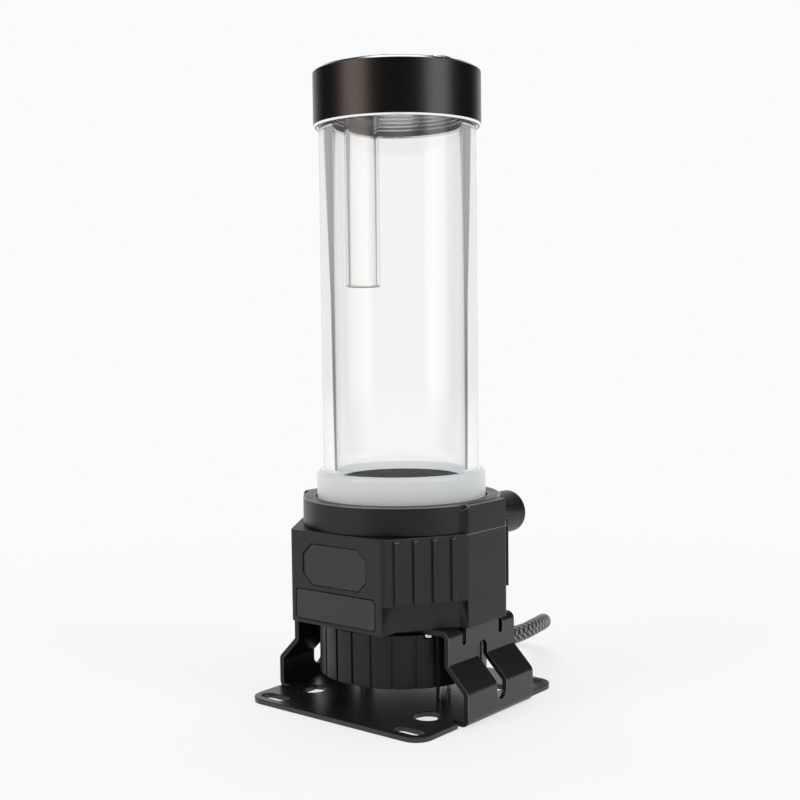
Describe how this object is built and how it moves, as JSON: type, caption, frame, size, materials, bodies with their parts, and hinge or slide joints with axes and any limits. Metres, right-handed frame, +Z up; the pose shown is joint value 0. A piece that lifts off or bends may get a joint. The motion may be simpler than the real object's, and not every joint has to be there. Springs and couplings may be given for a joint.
{
  "type": "coolant pump reservoir",
  "caption": "Upright clear tube reservoir with a screwed cap on a liquid-cooling pump, carried by a bent steel mounting bracket, with side coolant ports.",
  "frame": {"origin": "axis of the reservoir tube, on the underside of the bracket's base plate", "axes": "+Z up along the tube; -Y towards the badge face; +Y towards the coolant ports"},
  "size_m": [0.1507, 0.1655, 0.2448],
  "materials": {
    "bracket_steel": "semi-gloss black powder coat",
    "screw_steel": "bright zinc",
    "housing_plastic": "fine-grained black",
    "cover_plastic": "fine-grained black",
    "label_plastic": "smooth matte black",
    "top_plastic": "machined black",
    "board_green": "solder mask",
    "board_white": "white solder mask",
    "core_steel": "laminated",
    "copper": "enamelled winding",
    "can_plastic": "moulded",
    "ceramic": "ground",
    "impeller_plastic": "moulded",
    "carbon": "sintered",
    "magnet": "sintered ferrite",
    "rubber": "smooth",
    "diffuser": "frosted translucent",
    "clear": "polished clear acrylic",
    "cap_aluminium": "satin black anodised, bright cut edges",
    "sleeve": "braided",
    "connector_plastic": "moulded"
  },
  "bodies": {
    "base": {"mount_bracket": "bracket_steel", "bracket_screws": "screw_steel", "bottom_standoffs": "screw_steel", "motor_housing": "housing_plastic", "driver_board": "board_green", "stator_core": "core_steel", "stator_coils": "copper", "rotor_can": "can_plastic", "rotor_shaft": "ceramic", "thrust_washer": "ceramic", "body_cover": "cover_plastic", "badge_plate": "label_plastic", "label_plate": "label_plastic", "body_screws": "screw_steel", "pump_top": "top_plastic", "volute_seal": "rubber", "led_board": "board_white", "diffuser_ring": "diffuser", "lower_seal": "rubber", "reservoir_tube": "clear", "cable_gland": "rubber", "cable": "sleeve", "cable_coil": "sleeve", "cable_tail": "sleeve", "cable_tie": "connector_plastic", "cable_connector": "connector_plastic"},
    "rotor": {"impeller": "impeller_plastic", "impeller_bushing": "carbon", "rotor_magnet": "magnet"},
    "cap_seal": {"upper_seal": "rubber"},
    "cap": {"cap_ring": "cap_aluminium", "lid_disc": "clear", "inner_pipe": "clear"},
    "plug_washer": {"plug_seal": "rubber"},
    "plug": {"fill_plug": "cap_aluminium"}
  },
  "joints": [
    {"name": "impeller_spin", "type": "hinge", "parent": "base", "child": "rotor", "pos_m": [0, 0, 0.045], "axis": [0, 0, 1], "continuous": true},
    {"name": "cap_lift", "type": "slide", "parent": "base", "child": "cap_seal", "axis": [0, 0, 1], "range_m": [0, 0.0105]},
    {"name": "cap_turn", "type": "hinge", "parent": "cap_seal", "child": "cap", "pos_m": [0, 0, 0.23], "axis": [0, 0, 1], "range_deg": [0, 2520]},
    {"name": "plug_lift", "type": "slide", "parent": "cap", "child": "plug_washer", "axis": [0, 0, 1], "range_m": [0, 0.00602]},
    {"name": "plug_turn", "type": "hinge", "parent": "plug_washer", "child": "plug", "pos_m": [0.0107, 0.0087, 0.24], "axis": [0, 0, 1], "range_deg": [0, 1620]}
  ],
  "couplings": [
    {"joint": "cap_lift", "follows": "cap_turn", "m_per_rad": 0.00023873},
    {"joint": "plug_lift", "follows": "plug_turn", "m_per_rad": 0.00021279}
  ]
}
